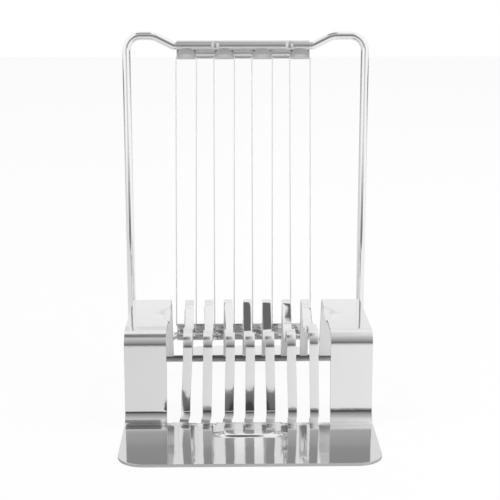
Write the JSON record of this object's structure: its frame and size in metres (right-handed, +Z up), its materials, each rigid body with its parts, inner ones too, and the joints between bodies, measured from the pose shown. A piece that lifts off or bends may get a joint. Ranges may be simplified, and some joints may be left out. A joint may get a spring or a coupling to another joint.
{
  "type": "egg slicer",
  "caption": "Stainless steel egg slicer: a slotted sheet base with an egg dish, and a hinged rod frame strung with cutting wires that swings down through the slots.",
  "frame": {"origin": "middle of the slicer's footprint, on the table it stands on", "axes": "+Z up, +X to the right across the slicer, +Y from the flange in front to the hinge at the back"},
  "size_m": [0.0914, 0.1108, 0.1291],
  "materials": {
    "sheet_steel": "mirror polished stainless steel",
    "rod_steel": "polished stainless steel rod",
    "strip_steel": "polished stainless steel strip",
    "wire_steel": "drawn stainless steel wire"
  },
  "bodies": {
    "base": {"slotted_base": "sheet_steel"},
    "frame": {"side_rod_left": "rod_steel", "side_rod_right": "rod_steel", "upper_wire_bar": "strip_steel", "lower_wire_bar": "strip_steel", "cutting_wire_1": "wire_steel", "cutting_wire_2": "wire_steel", "cutting_wire_3": "wire_steel", "cutting_wire_4": "wire_steel"}
  },
  "joints": [
    {"name": "frame_hinge", "type": "hinge", "parent": "base", "child": "frame", "pos_m": [0, 0.04535, 0.0087], "axis": [1, 0, 0], "range_deg": [-90, 90]}
  ]
}
